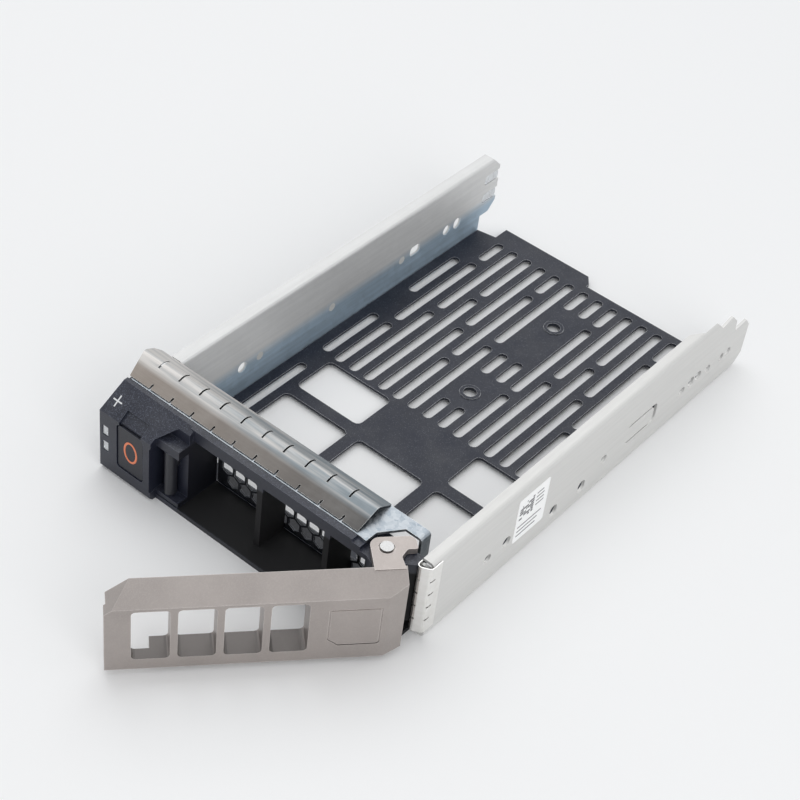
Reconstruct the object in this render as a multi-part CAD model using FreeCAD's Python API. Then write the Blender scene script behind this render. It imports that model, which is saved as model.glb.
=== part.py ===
import FreeCAD, Part
import math
import os

# Hot swap caddy for a 3.5 inch drive, in millimetres.
# X runs across the caddy, Y from the front to the rear, Z up.
# The origin is on the middle plane between the side rails, level with the underside of
# their lips, and in line with the middle of the drive's side screw holes.

# Drive bay and its side screw holes
bay_width = 102.2
hole_spacing = 101.6
hole_height = 11.4
screw_hole = 3.8

# Side rails, folded from sheet
rail_sheet = 0.9
rail_height = 29.6
rail_bend = 0.3
lip_width = 3.3
left_flange = 3.4
right_flange = 3.0
rail_front = -86.8
left_rear = 78.2
right_rear = 80.2
rail_hole = 1.6
right_rail_holes = ((-59.7, 11.2), (-1.8, 10.6), (41.7, 10.6), (57.0, 10.6), (69.3, 10.6))

# Base plate
plate_sheet = 1.0
plate_gap = 0.35
plate_front = -84.6
plate_rear = 72.3
plate_tongue = 5.0
slot_pitch = 6.07
slot_width = 3.3
slot_front = -18.6
slot_rear = 69.3
window_corner = 2.0
plate_hole = 2.2
plate_holes = (0.6, 46.0)
rim_width = 1.2
rim_height = 0.3

# Front bezel
bezel_left = -58.6
block_width = 29.4
block_face = -103.4
button_zone = 20.6
bezel_height = 29.6
bezel_wall = 1.7
frame_face = -95.3
frame_back = -84.6
facet_height = 23.0
slope_depth = 9.0
sill_height = 1.6
sill_face = -101.0
rail_depth = 3.2
recess_depth = 1.3
catch_wall = 1.6
screw_reach = 3.0
divider_width = 2.0
bay_pitch = 24.8
corner_right = 47.4

# Front bracket and the air grille under it
bracket_sheet = 0.9
bracket_front = -92.8
bracket_rear = -77.9
bracket_left = -56.6
bracket_right = 43.7
tab_width = 4.1
grille_sheet = 0.6
cell_pitch = 4.8
cell_web = 0.8

# Gaskets of sprung sheet
gasket_sheet = 0.3
gasket_left = -57.4
gasket_right = 29.4
gasket_rise = 3.1
gasket_pitch = 8.12
gasket_slots = 10
side_gasket_slots = 4

# Latch handle, given from its hinge
hinge_x = 38.6
hinge_y = -90.8
open_angle = 48.3
handle_reach = 75.6
handle_heel = 4.6
handle_front = 14.6
handle_depth = 7.7
handle_bottom = 2.1
bevel_height = 25.8
ear_thickness = 2.0
jaw_reach = 8.5
handle_thin = 3.6
window_count = 4
window_pitch = 12.2
window_width = 10.2
window_low = 6.0
window_high = 24.8
pin_radius = 1.5
pin_play = 0.05

# Release button and catch
button_width = 10.0
button_height = 16.0
catch_travel = 2.0
catch_radius = 1.9
moving_gap = 0.4

# Light pipes
pipe_width = 2.2
pipe_height = 2.4
light_height = 3.6
lower_light = 10.0
upper_light = 16.1
lower_rear_light = 14.6
upper_rear_light = 22.1
lens_length = 7.4
lens_height = 3.4

# Flats that draw the small round forms
small_corner = 2.05
flat_turn = 30.0
rod_sides = 12
wire_sides = 6

half_bay = bay_width / 2
half_spacing = hole_spacing / 2
plate_top = rail_sheet + plate_sheet
block_right = bezel_left + block_width
button_face_right = bezel_left + button_zone
flange_under = bezel_height - bracket_sheet
handle_top = bezel_height
inner_top = flange_under - rail_depth


def point(x, y, z):
    """Return a point or direction."""
    return FreeCAD.Vector(x, y, z)


def on_plan(height):
    """Place flat coordinates (x, y) at one height."""
    return lambda u, v: point(u, v, height)


def on_side(x):
    """Place flat coordinates (y, z) at one x."""
    return lambda u, v: point(x, u, v)


def on_front(y):
    """Place flat coordinates (x, z) at one y."""
    return lambda u, v: point(u, y, v)


def corner_arc(before, at, after, radius):
    """Return start, middle and end of the arc that rounds a corner."""
    ax, ay = before[0] - at[0], before[1] - at[1]
    bx, by = after[0] - at[0], after[1] - at[1]
    la, lb = math.hypot(ax, ay), math.hypot(bx, by)
    ax, ay, bx, by = ax / la, ay / la, bx / lb, by / lb
    half = math.acos(max(-1.0, min(1.0, ax * bx + ay * by))) / 2
    back = radius / math.tan(half)
    mx, my = ax + bx, ay + by
    lm = math.hypot(mx, my)
    deep = radius / math.sin(half) - radius
    start = (at[0] + ax * back, at[1] + ay * back)
    end = (at[0] + bx * back, at[1] + by * back)
    middle = (at[0] + mx / lm * deep, at[1] + my / lm * deep)
    return start, middle, end


def small_corner_points(before, at, after, radius):
    """Return the points of a small rounded corner, drawn with short flats."""
    start, middle, end = corner_arc(before, at, after, radius)
    mx, my = middle[0] - at[0], middle[1] - at[1]
    reach = math.hypot(mx, my)
    centre = (middle[0] + mx / reach * radius, middle[1] + my / reach * radius)
    first = math.atan2(start[1] - centre[1], start[0] - centre[0])
    last = math.atan2(end[1] - centre[1], end[0] - centre[0])
    turn = (last - first + math.pi) % (2 * math.pi) - math.pi
    flats = max(1, round(abs(math.degrees(turn)) / flat_turn))
    points = []
    for i in range(flats + 1):
        angle = first + turn * i / flats
        points.append((centre[0] + radius * math.cos(angle), centre[1] + radius * math.sin(angle)))
    return points


def corner_joint(before, corner, after):
    """Return the points of one corner: sharp, in short flats, or the three points of an arc."""
    at = corner[:2]
    radius = corner[2] if len(corner) > 2 else 0
    if radius == 0:
        return [at], False
    if radius < small_corner:
        return small_corner_points(before[:2], at, after[:2], radius), False
    return list(corner_arc(before[:2], at, after[:2], radius)), True


def outline(corners, place):
    """Return the wire of a polygon. A corner (u, v, r) is rounded with radius r."""
    edges = []
    count = len(corners)
    joints = [corner_joint(corners[i - 1], corners[i], corners[(i + 1) % count]) for i in range(count)]
    for i, (points, arc) in enumerate(joints):
        run = [points[-1], joints[(i + 1) % count][0][0]]
        if arc:
            edges.append(Part.Arc(place(*points[0]), place(*points[1]), place(*points[2])).toShape())
        else:
            run = points + run[1:]
        for a, b in zip(run, run[1:]):
            if math.hypot(b[0] - a[0], b[1] - a[1]) > 1e-6:
                edges.append(Part.LineSegment(place(*a), place(*b)).toShape())
    return Part.Wire(edges)


def prism(corners, place, direction):
    """Return the solid of a polygon extruded along a vector."""
    return Part.Face(outline(corners, place)).extrude(direction)


def plan_prism(corners, low, high):
    return prism(corners, on_plan(low), point(0, 0, high - low))


def side_prism(corners, left, right):
    return prism(corners, on_side(left), point(right - left, 0, 0))


def front_prism(corners, front, rear):
    return prism(corners, on_front(front), point(0, rear - front, 0))


def box(x0, x1, y0, y1, z0, z1):
    return Part.makeBox(x1 - x0, y1 - y0, z1 - z0, point(x0, y0, z0))


def rounded(u0, u1, v0, v1, radius):
    """Return the corners of a rounded rectangle."""
    return [(u0, v0, radius), (u1, v0, radius), (u1, v1, radius), (u0, v1, radius)]


def rod(radius, start, direction):
    return Part.makeCylinder(radius, direction.Length, start, direction)


def small_rod(radius, start, direction):
    """Return a small rod or hole, drawn with flat sides."""
    turned = FreeCAD.Rotation(point(0, 0, 1), direction)
    corners = []
    for k in range(rod_sides):
        angle = 2 * math.pi * (k + 0.5) / rod_sides
        corners.append(start + turned.multVec(point(radius * math.cos(angle), radius * math.sin(angle), 0)))
    return Part.Face(Part.makePolygon(corners + corners[:1])).extrude(direction)


def bent_strip(path, thickness, inside_radius, place, direction):
    """Return a sheet bent along a path of its middle line and extruded along a vector."""
    sides = []
    for side in (1, -1):
        points = []
        for i in range(len(path)):
            if i == 0 or i == len(path) - 1:
                a, b = (path[0], path[1]) if i == 0 else (path[-2], path[-1])
                length = math.hypot(b[0] - a[0], b[1] - a[1])
                nx, ny = -(b[1] - a[1]) / length, (b[0] - a[0]) / length
                points.append((path[i][0] + nx * side * thickness / 2,
                               path[i][1] + ny * side * thickness / 2))
                continue
            before, at, after = path[i - 1], path[i], path[i + 1]
            ax, ay = at[0] - before[0], at[1] - before[1]
            bx, by = after[0] - at[0], after[1] - at[1]
            la, lb = math.hypot(ax, ay), math.hypot(bx, by)
            ax, ay, bx, by = ax / la, ay / la, bx / lb, by / lb
            turn = math.atan2(ax * by - ay * bx, ax * bx + ay * by)
            shift = side * thickness / 2
            nx, ny = -ay, ax
            along = -shift * math.tan(turn / 2)
            radius = inside_radius if side * turn > 0 else inside_radius + thickness
            points.append((at[0] + nx * shift + ax * along, at[1] + ny * shift + ay * along, radius))
        sides.append(points)
    return prism(sides[0] + sides[1][::-1], place, direction)


def coil(radius, wire, turns, start, direction):
    """Return a wire coil from a start point along a vector, drawn with flat facets."""
    rise = direction.Length / turns
    rings = []
    for i in range(round(turns * rod_sides) + 1):
        turn = i / rod_sides
        ring = []
        for k in range(wire_sides):
            around = 2 * math.pi * k / wire_sides
            reach = radius + wire * math.cos(around)
            height = rise * turn + wire * math.sin(around)
            angle = 2 * math.pi * turn
            ring.append(point(reach * math.cos(angle), reach * math.sin(angle), height))
        rings.append(ring)
    faces = [Part.Face(Part.makePolygon(ring + ring[:1])) for ring in (rings[0], rings[-1])]
    for near, far in zip(rings, rings[1:]):
        for k in range(wire_sides):
            after = (k + 1) % wire_sides
            faces.append(Part.Face(Part.makePolygon([near[k], near[after], far[after], near[k]])))
            faces.append(Part.Face(Part.makePolygon([near[k], far[after], far[k], near[k]])))
    spring = Part.Solid(Part.Shell(faces))
    if spring.Volume < 0:
        spring.reverse()
    spring.Placement = FreeCAD.Placement(start, FreeCAD.Rotation(point(0, 0, 1), direction))
    return spring


def save(shape, name):
    """Write one sub-part as a file of its own."""
    shape.exportStep("parts/" + name + ".step")
    print(name, len(shape.Solids), "solid", shape.isValid(), round(shape.Volume, 1))


def slot_cutter(x, front, rear):
    """Return the cutter of one round-ended slot of the base plate."""
    half = slot_width / 2
    corners = rounded(x - half, x + half, front, rear, half)
    return plan_prism(corners, 0, plate_top + 1)


def slot_spans(column):
    """Return the front and rear ends of the slots in one column, as lengths of the slot field."""
    field = slot_rear - slot_front
    if column in (7, 8):
        return [(0, 11.8), (29.9, 42.2), (75.7, field)]
    if column == 0:
        return [(1, 27.2), (44.8, 70.6)]
    if column % 4 == 1:
        return [(0, 26.9), (29.9, 72.4), (75.6, field)]
    if column % 4 == 2:
        return [(0, 41.6), (45.0, field)]
    if column % 4 == 3:
        return [(0, 57.3), (60.4, field)]
    return [(0, 42.0), (45.0, field)]


def base_plate():
    """Return the slotted plate that lies on the rails' lips."""
    edge = half_bay - plate_gap
    tongue = plate_rear + plate_tongue
    corners = [
        (-edge, plate_front), (edge, plate_front), (edge, plate_rear), (-5.2, plate_rear),
        (-5.2, plate_rear + 1.6), (-7.8, tongue), (-43.6, tongue), (-43.6, plate_rear - 1.3),
        (-edge, plate_rear - 2.6),
    ]
    plate = plan_prism(corners, rail_sheet, plate_top)
    cutters = []
    for column in range(16):
        x = (column - 7.5) * slot_pitch
        for front, rear in slot_spans(column):
            cutters.append(slot_cutter(x, slot_front + front, slot_front + rear))
    rear_row = (-36.5, -20.2)
    front_row = (-79.0, -40.9)
    for left, right in ((-40.8, -15.1), (19.6, 45.4)):
        cutters.append(plan_prism(rounded(left, right, *rear_row, window_corner), 0, plate_top + 1))
    for left, right in ((-40.8, -15.1), (-10.9, 15.0), (19.6, 45.4)):
        cutters.append(plan_prism(rounded(left, right, *front_row, window_corner), 0, plate_top + 1))
    cutters.append(slot_cutter(-7.5 * slot_pitch, -58.0, -27.0))
    for y in plate_holes:
        cutters.append(rod(plate_hole, point(0, y, 0), point(0, 0, plate_top + 1)))
    cutters.append(small_rod(1.2, point(bracket_right - 4.0, tab_middle(), 0), point(0, 0, plate_top + 1)))
    plate = plate.cut(Part.makeCompound(cutters))
    for y in plate_holes:
        rim = rod(plate_hole + rim_width, point(0, y, plate_top), point(0, 0, rim_height))
        plate = plate.fuse(rim.cut(rod(plate_hole, point(0, y, 0), point(0, 0, plate_top + 1))))
    return plate.removeSplitter()


def rail_blank(side, flange, outward, side_view):
    """Return one folded rail trimmed to its side view. The side is -1 for left and 1 for right."""
    wall = side * (half_bay + rail_sheet / 2)
    fold = side if outward else -side
    edge = wall + fold * (flange + rail_sheet / 2)
    path = [
        (side * (half_bay - lip_width), rail_sheet / 2), (wall, rail_sheet / 2),
        (wall, rail_height - rail_sheet / 2), (edge, rail_height - rail_sheet / 2),
    ]
    rear = max(left_rear, right_rear) + 5
    section = bent_strip(path, rail_sheet, rail_bend, on_front(rail_front), point(0, rear - rail_front, 0))
    reach = half_bay + left_flange + 5
    trim = side_prism(side_view, -reach if side < 0 else 0, 0 if side < 0 else reach)
    return section.common(trim)


def wall_hole(side, y, z, radius):
    """Return the cutter of a small hole through one rail's wall."""
    return small_rod(radius, point(side * (half_bay - 1), y, z), point(side * (rail_sheet + 2), 0, 0))


def drive_hole(side, y):
    """Return the round cutter of one of the drive's screw holes."""
    start = point(side * (half_bay - 1), y, hole_height)
    return rod(screw_hole / 2, start, point(side * (rail_sheet + 2), 0, 0))


def wall_slot(side, y0, y1, z0, z1, radius):
    """Return a rounded cutter through one rail's wall."""
    near = side * (half_bay - 1)
    far = side * (half_bay + rail_sheet + 1)
    return side_prism(rounded(y0, y1, z0, z1, radius), min(near, far), max(near, far))


def clip_places():
    """Return the middles of the light pipe clips along Y."""
    return (-42.8, -8.7, 26.7)


def left_rail():
    """Return the left rail, with its flange outward over the light pipes."""
    under = flange_under - 0.2
    rear = left_rear
    side_view = [
        (rail_front, 0), (plate_rear - 2.1, 0), (plate_rear - 2.1, 7.4), (rear - 3.4, 7.4, 1.0),
        (rear, 10.9), (rear, rail_height - 4.0), (rear - 4.0, rail_height), (bracket_rear + 0.6, rail_height),
        (bracket_rear + 0.6, under), (rail_front, under),
    ]
    rail = rail_blank(-1, left_flange, True, side_view)
    cutters = [
        drive_hole(-1, -half_spacing),
        drive_hole(-1, half_spacing),
        wall_slot(-1, half_spacing + 3.9, half_spacing + 7.7, hole_height - 2.2, hole_height + 2.2, 1.8),
        wall_slot(-1, 31.0, 36.2, hole_height - 1.2, hole_height + 2.6, 1.2),
    ]
    for y in clip_places():
        cutters.append(wall_hole(-1, y, hole_height, 1.5))
    for light in (lower_rear_light, upper_rear_light):
        half = lens_height / 2 + 0.2
        cutters.append(wall_slot(-1, rear - lens_length - 0.6, rear + 6.0, light - half, light + half, 1.2))
    for z in bracket_rivet_heights():
        cutters.append(wall_hole(-1, tab_middle(), z, 1.2))
    return rail.cut(Part.makeCompound(cutters))


def right_rail():
    """Return the right rail, with its flange inward, its stepped rear end and a latch leaf."""
    rear = right_rear
    side_view = [
        (rail_front, 0), (rear - 4.2, 0), (rear, 4.2), (rear, 16.0), (rear - 2.8, 19.3),
        (rear - 9.7, 18.8), (rear - 10.4, 23.4), (rear - 14.3, 27.2), (rear - 19.8, 25.8),
        (rear - 23.7, rail_height), (rail_front, rail_height),
    ]
    rail = rail_blank(1, right_flange, False, side_view)
    flange_end = plan_prism(
        [(half_bay - right_flange - 1, 43.6), (half_bay, 49.8), (half_bay, rear + 6), (0, rear + 6),
         (0, 43.6)],
        rail_height - rail_sheet - 0.4, rail_height + 1,
    )
    lip_end = box(0, half_bay - 0.1, plate_rear - 2.0, rear + 6, -1, rail_sheet + 0.1)
    front_tab = box(corner_right + 0.5, half_bay + rail_sheet / 2, rail_front, rail_front + rail_sheet,
                    5.0, 27.0)
    rail = rail.cut(flange_end).cut(lip_end).fuse(front_tab)
    side = 1
    cutters = [
        drive_hole(side, -half_spacing),
        drive_hole(side, half_spacing),
        wall_slot(side, half_spacing - 5.7, half_spacing - 2.5, hole_height - 2.0, hole_height + 2.0, 1.5),
        wall_slot(side, -28.6, -25.0, 4.4, 8.8, 1.6),
        wall_slot(side, -14.3, -10.7, 4.4, 8.8, 1.6),
        wall_slot(side, 64.0, 66.4, 9.0, 12.2, 1.1),
    ]
    for y, z in right_rail_holes:
        cutters.append(wall_hole(side, y, z, rail_hole))
    leaf_slot = wall_slot(side, 9.7, 26.4, 8.6, 16.2, 2.0)
    leaf = wall_slot(side, 6.0, 24.6, 9.4, 15.4, 1.6)
    rail = rail.cut(Part.makeCompound(cutters)).cut(leaf_slot.cut(leaf))
    return rail.removeSplitter()


def tab_middle():
    """Return the middle of the bracket's end tabs along Y."""
    return bracket_rear - tab_width / 2


def bracket_rivet_heights():
    """Return the heights of the two rivets into the left rail."""
    return (19.5, 25.0)


def screw_places():
    """Return the places of the bezel's screws in plan."""
    return ((-46.0, -88.6), (17.0, -88.6))


def screw_seat():
    """Return the height under the flush heads of the bezel's screws."""
    return bezel_height - bracket_sheet / 2


def front_bracket():
    """Return the folded bracket over the bezel, with a leg to the plate and a tab to the left rail."""
    top = bezel_height
    tab_front = bracket_rear - tab_width
    left_tab = -half_bay + bracket_sheet + 0.05
    corners = [
        (bracket_left, bracket_front), (30.9, bracket_front), (33.1, -93.0), (33.2, -88.6),
        (38.0, tab_front), (bracket_right, tab_front), (bracket_right, bracket_rear),
        (left_tab, bracket_rear), (left_tab, tab_front - 0.6), (bracket_left, tab_front - 0.6),
    ]
    flange = plan_prism(corners, flange_under, top)
    middle = bracket_sheet / 2
    leg_path = [
        (bracket_right - 8.0, top - middle), (bracket_right - middle, top - middle),
        (bracket_right - middle, plate_top + middle), (bracket_right - 6.5, plate_top + middle),
    ]
    depth = point(0, tab_width, 0)
    leg = bent_strip(leg_path, bracket_sheet, rail_bend, on_front(tab_front), depth)
    wall = -half_bay + 0.05 + middle
    tab_path = [(-40.0, top - middle), (wall, top - middle), (wall, 14.5)]
    tab = bent_strip(tab_path, bracket_sheet, rail_bend, on_front(tab_front), depth)
    end_trim = box(bracket_right - 1.8, bracket_right + 3, tab_front - 0.01, bracket_rear + 2, 20, top + 1)
    flange = flange.cut(end_trim)
    left_trim = box(-half_bay - 3, left_tab + 0.8, tab_front - 0.01, bracket_rear + 2, 20, top + 1)
    flange = flange.cut(left_trim)
    bracket = flange.fuse([leg, tab])
    cutters = []
    for x, y in screw_places():
        cutters.append(small_rod(1.3, point(x, y, flange_under - 1), point(0, 0, 2)))
        cutters.append(small_rod(2.3, point(x, y, screw_seat()), point(0, 0, bracket_sheet)))
    for z in bracket_rivet_heights():
        cutters.append(wall_hole(-1, tab_middle(), z, 1.2))
        cutters.append(small_rod(1.2, point(wall - 1, tab_middle(), z), point(2, 0, 0)))
    cutters.append(small_rod(1.2, point(bracket_right - 4.0, tab_middle(), 0), point(0, 0, plate_top + 3)))
    return bracket.cut(Part.makeCompound(cutters)).removeSplitter()


def bracket_rivets():
    """Return the rivets of the bracket: two into the left rail, one into the plate."""
    rivets = []
    inner = -half_bay + 0.05 + bracket_sheet
    outer = -half_bay - rail_sheet
    for z in bracket_rivet_heights():
        shank = small_rod(1.2, point(outer, tab_middle(), z), point(inner - outer, 0, 0))
        head = small_rod(2.0, point(inner, tab_middle(), z), point(0.6, 0, 0))
        rivets.append(shank.fuse(head))
    x = bracket_right - 4.0
    foot_top = plate_top + bracket_sheet
    shank = small_rod(1.2, point(x, tab_middle(), rail_sheet), point(0, 0, foot_top - rail_sheet))
    head = small_rod(2.0, point(x, tab_middle(), foot_top), point(0, 0, 0.6))
    rivets.append(shank.fuse(head))
    return Part.makeCompound(rivets)


def bezel_screws():
    """Return the two countersunk screws that hold the bezel under the bracket."""
    screws = []
    for x, y in screw_places():
        head = small_rod(2.25, point(x, y, screw_seat()), point(0, 0, bezel_height - screw_seat()))
        shank = small_rod(1.25, point(x, y, flange_under - screw_reach),
                          point(0, 0, bracket_sheet / 2 + screw_reach))
        slot = box(x - 2.3, x + 2.3, y - 0.25, y + 0.25, bezel_height - 0.4, bezel_height + 1)
        screws.append(head.fuse(shank).cut(slot))
    return Part.makeCompound(screws)


def air_grille():
    """Return the honeycomb sheet across the bays, with a flange under the bracket and a foot."""
    left = block_right + 0.3
    right = hinge_x - 5.5
    middle = grille_sheet / 2
    low = plate_top + middle
    high = flange_under - middle
    web = frame_back + middle + 0.05
    path = [(web + 4.5, low), (web, low), (web, high), (web + 4.5, high)]
    grille = bent_strip(path, grille_sheet, 0.4, on_side(left), point(right - left, 0, 0))
    row_pitch = cell_pitch * math.sqrt(3) / 2
    radius = (cell_pitch - cell_web) / math.sqrt(3)
    cells = []
    bottom = plate_top + cell_pitch * 0.75
    rows = int((flange_under - 2.2 - bottom) / row_pitch) + 1
    for row in range(rows):
        z = bottom + row * row_pitch
        x = left + cell_pitch * (0.8 if row % 2 else 1.3)
        while x < right - cell_pitch * 0.7:
            hexagon = []
            for k in range(6):
                angle = math.radians(30 + 60 * k)
                hexagon.append((x + radius * math.cos(angle), z + radius * math.sin(angle)))
            cells.append(front_prism(hexagon, frame_back - 1, frame_back + 2))
            x += cell_pitch
    return grille.cut(Part.makeCompound(cells))


def block_section(inset):
    """Return the block's side view, moved inward by a wall."""
    front = block_face + inset
    bottom = inset
    ease = 1.2 * (1 if inset == 0 else 0.5)
    slope_end = block_face + slope_depth + inset * 0.4
    return [
        (front + ease, bottom), (front, bottom + ease), (front, facet_height - inset * 0.4),
        (slope_end, bezel_height - inset), (frame_back + (1 if inset else 0), bezel_height - inset),
        (frame_back + (1 if inset else 0), bottom),
    ]


def front_bezel():
    """Return the moulded bezel: button block, frame round the bays, sill and hinge corner."""
    block = side_prism(block_section(0), bezel_left, block_right)
    chamfer = 0.8
    side_cut = front_prism(
        [(bezel_left - 1, facet_height), (bezel_left, facet_height), (bezel_left + chamfer, bezel_height),
         (bezel_left + chamfer, bezel_height + 2), (bezel_left - 1, bezel_height + 2)],
        block_face - 1, frame_back + 1,
    )
    block = block.cut(side_cut)
    recess_y = frame_face - recess_depth
    zone = front_prism(
        [(button_face_right, -1), (block_right + 1, -1), (block_right + 1, bezel_height + 1),
         (button_face_right + 7.6, bezel_height + 1), (button_face_right, facet_height + 1.2)],
        block_face - 1, recess_y,
    )
    block = block.cut(zone)
    pad_front = handle_catch_face() + 1.0
    pad = box(button_face_right - 1.0, block_right, pad_front, recess_y + 1, pad_low(), window_high - 0.6)
    block = block.fuse(pad)
    cavity = side_prism(block_section(bezel_wall), bezel_left + 0.9, button_face_right - 1.6)
    catch_room = box(
        button_face_right - 1.7, block_right - catch_wall, recess_y + bezel_wall, frame_back + 1,
        bezel_wall, flange_under - bezel_wall,
    )
    seat = box(bezel_left - 1, block_right + 1, bracket_front - 0.2, frame_back + 1, flange_under,
               bezel_height + 1)
    block = block.cut(cavity).cut(catch_room).cut(seat)

    top_rail = box(block_right - 1, hinge_x - 3.0, frame_face, frame_back, inner_top, flange_under)
    top_lip = box(block_right - 1, hinge_x - 8.5, frame_face, bracket_front - 0.2, flange_under,
                  bezel_height)
    sill = plan_prism(
        [(block_right - 1, frame_back), (block_right - 1, recess_y - 0.5),
         (button_face_right - 1, recess_y - 0.5),
         (button_face_right - 1, sill_face), (40.4, sill_face, 3.0),
         (corner_right, -93.4, 2.0), (corner_right, frame_back)],
        0, sill_height,
    )
    parts = [block, top_rail, top_lip, sill]
    for i in (1, 2):
        x = block_right + 2.2 + i * bay_pitch - divider_width / 2
        parts.append(box(x - divider_width / 2, x + divider_width / 2, frame_face, frame_back,
                         sill_height - 0.5, inner_top + 0.5))
    parts.append(hinge_corner())
    bezel = parts[0].fuse(parts[1:])
    return bezel.cut(Part.makeCompound(bezel_cutters())).removeSplitter()


def pad_low():
    """Return the height of the lower edge of the pad round the catch."""
    return catch_span()[0] - 2.0


def handle_catch_face():
    """Return the y of the closed handle's thin left end, on its back."""
    return hinge_y - handle_front + handle_thin


def ear_top():
    """Return the height of the top of the handle's lower ear."""
    return handle_bottom + ear_thickness


def ledge_height():
    """Return the height of the bezel's ledge under the handle's upper ear."""
    return handle_top - ear_thickness - 0.3


def hinge_corner():
    """Return the corner post that carries the hinge pin, with its spring pocket."""
    nose = 5.4
    post_low = ear_top() + 0.4
    round_post = rod(nose, point(hinge_x, hinge_y, post_low), point(0, 0, ledge_height() - post_low))
    back = plan_prism(
        [(hinge_x - nose, hinge_y), (hinge_x + nose, hinge_y), (corner_right, hinge_y + 2.6),
         (corner_right, frame_back), (hinge_x - nose, frame_back)],
        post_low, ledge_height(),
    )
    foot = box(hinge_x - nose, corner_right, hinge_y + 5.0, frame_back, 0, post_low + 1)
    sweep = rod(9.2, point(hinge_x, hinge_y, sill_height), point(0, 0, post_low - sill_height))
    post = round_post.fuse([back, foot.cut(sweep)])
    pocket = rod(4.3, point(hinge_x, hinge_y, spring_low()), point(0, 0, spring_high() - spring_low()))
    mouth = box(hinge_x - 6.5, hinge_x + 6.5, hinge_y - 7, hinge_y, spring_low(), spring_high())
    return post.cut(pocket).cut(mouth)


def spring_low():
    """Return the height of the floor of the handle spring's pocket."""
    return 11.0


def spring_high():
    """Return the height of the roof of the handle spring's pocket."""
    return 18.0


def button_middle():
    """Return the middle of the release button as (x, z)."""
    return (bezel_left + 12.3, 13.7)


def bezel_cutters():
    """Return the openings of the bezel: pin bore, button, light windows, catch and screws."""
    cutters = [rod(pin_radius, point(hinge_x, hinge_y, 0.4), point(0, 0, bezel_height))]
    cutters.append(box(hinge_x - 5.7, corner_right + 1, frame_face - 1, frame_back + 1,
                       ledge_height(), bezel_height + 1))
    wall = -half_bay - rail_sheet - 0.3
    cutters.append(box(wall, -half_bay + lip_width + 0.3, rail_front - 0.3, frame_back + 1, -1,
                       flange_under))
    bx, bz = button_middle()
    half_w = button_width / 2 + moving_gap
    half_h = button_height / 2 + moving_gap
    cutters.append(front_prism(rounded(bx - half_w, bx + half_w, bz - half_h, bz + half_h, 1.2),
                               block_face - 1, block_face + bezel_wall + 0.5))
    run = (bezel_height - facet_height) / slope_depth
    thumb = [
        (block_face - 1, bz), (block_face + 1.0, bz), (block_face + 1.0, facet_height - 0.2),
        (block_face + 4.2, facet_height - 0.2 + 3.2 * run), (block_face + 2.8, facet_height + 3.4),
        (block_face - 1, facet_height + 1),
    ]
    thumb_room = side_prism(thumb, bx - half_w + 1.0, bx + half_w - 1.0)
    cutters.append(thumb_room)
    for light in (lower_light, upper_light):
        half = pipe_width / 2 + 0.1
        tall = light_height / 2 + 0.1
        x = pipe_front_x()
        cutters.append(box(x - half, x + half, block_face - 1, block_face + bezel_wall + 1, light - tall,
                           light + tall))
    wall_back = frame_face - recess_depth
    notch_left = catch_x() - catch_radius - catch_travel - moving_gap
    low, high = catch_span()
    cutters.append(box(notch_left, block_right + 1, block_face, wall_back - 0.2, low - 0.6, high + 0.4))
    arm_low, arm_high = arm_span()
    cutters.append(box(notch_left, catch_x() + 1.8, wall_back - 1, wall_back + bezel_wall + 1,
                       arm_low - moving_gap, arm_high + moving_gap))
    for x, y in screw_places():
        cutters.append(small_rod(1.25, point(x, y, flange_under - screw_reach - 1.0), point(0, 0, 6.0)))
    exit_left = pipe_front_x() - pipe_width / 2 - 0.2
    cutters.append(box(exit_left, exit_left + pipe_width + 0.4, frame_back - 3, frame_back + 1,
                       lower_light - light_height / 2 - 0.2, upper_light + light_height / 2 + 0.2))
    return cutters


def pipe_front_x():
    """Return the x of the middle of the light windows."""
    return bezel_left + 2.3


def catch_x():
    """Return the x of the catch bar's axis."""
    return block_right - 5.0


def catch_span():
    """Return the low and high ends of the catch bar."""
    return (4.0, 20.6)


def arm_span():
    """Return the low and high sides of the catch's arm."""
    return (14.2, 18.0)


def top_gasket():
    """Return the sprung gasket strip over the bracket, with slots across its crest and front edge."""
    seat = bezel_height + gasket_sheet / 2 + 0.05
    front = bracket_front + 0.6
    rear = bracket_rear
    crest = seat + gasket_rise
    crest_y = front + (rear - front) * 0.6
    path = [(front, seat), (crest_y, crest), (rear, seat)]
    strip = bent_strip(path, gasket_sheet, 3.0, on_side(gasket_left - 3.5),
                       point(gasket_right - gasket_left + 3.5, 0, 0))
    end_cut = plan_prism(
        [(gasket_left, front - 1), (gasket_left - 3.0, crest_y), (gasket_left - 3.2, rear - 1.6),
         (gasket_left - 0.6, rear + 1), (gasket_left - 6, rear + 1), (gasket_left - 6, front - 1)],
        seat - 1, crest + 1,
    )
    strip = strip.cut(end_cut)
    cutters = []
    first = gasket_left + 5.0
    for i in range(gasket_slots):
        x = first + i * gasket_pitch
        cutters.append(box(x - 0.3, x + 0.3, crest_y - 2.3, crest_y + 2.2, seat + 0.4, crest + 1))
        edge = x + gasket_pitch / 3
        cutters.append(box(edge - 0.3, edge + 0.3, front - 1, front + 1.6, seat - 1, seat + 1.2))
    return strip.cut(Part.makeCompound(cutters))


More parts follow.
